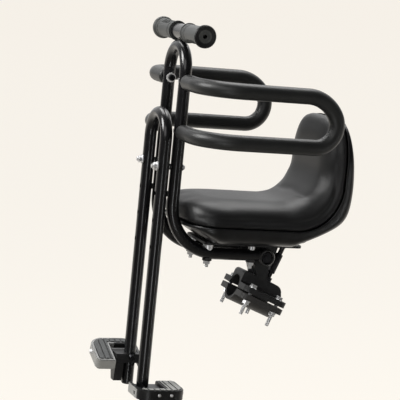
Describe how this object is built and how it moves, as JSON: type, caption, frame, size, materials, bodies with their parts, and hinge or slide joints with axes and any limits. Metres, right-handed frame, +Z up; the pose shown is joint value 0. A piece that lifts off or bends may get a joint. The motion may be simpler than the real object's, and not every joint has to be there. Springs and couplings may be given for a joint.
{
  "type": "child bike seat",
  "caption": "Padded child seat with backrest, handle bar, armrest loops and folding footrests on a tubular frame that clamps on a sloping bicycle top tube",
  "frame": {"origin": "centre of the clamp bore, on the axis of the bicycle top tube", "axes": "+X forward along the bicycle, +Y to the rider's left, +Z up"},
  "size_m": [0.3971, 0.3234, 0.612],
  "materials": {
    "cast_black": "satin black coat on cast alloy",
    "cast_grey": "dark grey coat on cast alloy",
    "rubber_black": "matte",
    "zinc_steel": "bright zinc",
    "bronze": "plain sintered bearing",
    "plain_steel": "plain",
    "black_steel": "black oxide",
    "cap_plastic": "black, moulded",
    "black_paint": "gloss black powder coat",
    "plug_plastic": "black, moulded",
    "grip_rubber": "satin, ribbed",
    "foam_grip": "satin skin on foam",
    "cushion_leather": "black synthetic leather, fine grain",
    "shell_plastic": "black, fine texture",
    "screw_black": "black caps",
    "bracket_paint": "satin black coat",
    "foot_plastic": "black with silver-grey ends",
    "tread_rubber": "dark grey, studded"
  },
  "bodies": {
    "clamp": {"clamp_upper": "cast_black", "clamp_lower": "cast_grey", "upper_liner": "rubber_black", "lower_liner": "rubber_black", "clamp_bolts": "zinc_steel", "clamp_nuts": "zinc_steel", "clamp_washers": "zinc_steel", "pivot_bushes": "bronze", "friction_washers": "plain_steel", "prop_stud": "black_steel", "prop_sleeve": "black_steel", "prop_locknut": "black_steel"},
    "seat": {"pivot_bolt": "black_steel", "pivot_nut": "black_steel", "pivot_caps": "cap_plastic", "upper_frame": "black_paint", "run_plugs": "plug_plastic", "handle_bar": "black_paint", "left_grip": "grip_rubber", "right_grip": "grip_rubber", "lower_frame": "black_paint", "leg_plugs": "plug_plastic", "height_bolts": "zinc_steel", "height_nuts": "zinc_steel", "frame_spacers": "rubber_black", "left_arm_tube": "black_paint", "right_arm_tube": "black_paint", "left_arm_foam": "foam_grip", "right_arm_foam": "foam_grip", "arm_bolts": "black_steel", "arm_washers": "zinc_steel", "seat_cushion": "cushion_leather", "seat_shell": "shell_plastic", "shell_screws": "screw_black", "seat_bracket": "bracket_paint", "base_spacers": "zinc_steel", "base_bolts": "zinc_steel", "base_nuts": "zinc_steel", "base_saddles": "rubber_black", "left_foot_bracket": "bracket_paint", "right_foot_bracket": "bracket_paint", "foot_bracket_bolts": "zinc_steel", "foot_bracket_nuts": "zinc_steel"},
    "prop": {"prop_screw": "black_steel"},
    "left_foot": {"left_footrest": "foot_plastic", "left_tread": "tread_rubber", "left_edge_screws": "zinc_steel", "left_foot_pin": "zinc_steel"},
    "right_foot": {"right_footrest": "foot_plastic", "right_tread": "tread_rubber", "right_edge_screws": "zinc_steel", "right_foot_pin": "zinc_steel"}
  },
  "joints": [
    {"name": "seat_tilt", "type": "hinge", "parent": "clamp", "child": "seat", "pos_m": [-0.00793, 0, 0.06656], "axis": [0, 1, 0], "range_deg": [-5, 5]},
    {"name": "prop_extend", "type": "slide", "parent": "clamp", "child": "prop", "axis": [-0.4617, 0, 0.887], "range_m": [-0.0045, 0.0045]},
    {"name": "left_foot_fold", "type": "hinge", "parent": "seat", "child": "left_foot", "pos_m": [0.19988, 0.0585, -0.12829], "axis": [0.9945, 0, 0.1045], "range_deg": [0, 90]},
    {"name": "right_foot_fold", "type": "hinge", "parent": "seat", "child": "right_foot", "pos_m": [0.19622, -0.0585, -0.09348], "axis": [-0.9945, 0, -0.1045], "range_deg": [-20, 70]}
  ],
  "couplings": [
    {"joint": "prop_extend", "follows": "seat_tilt", "m_per_rad": 0.04625}
  ]
}
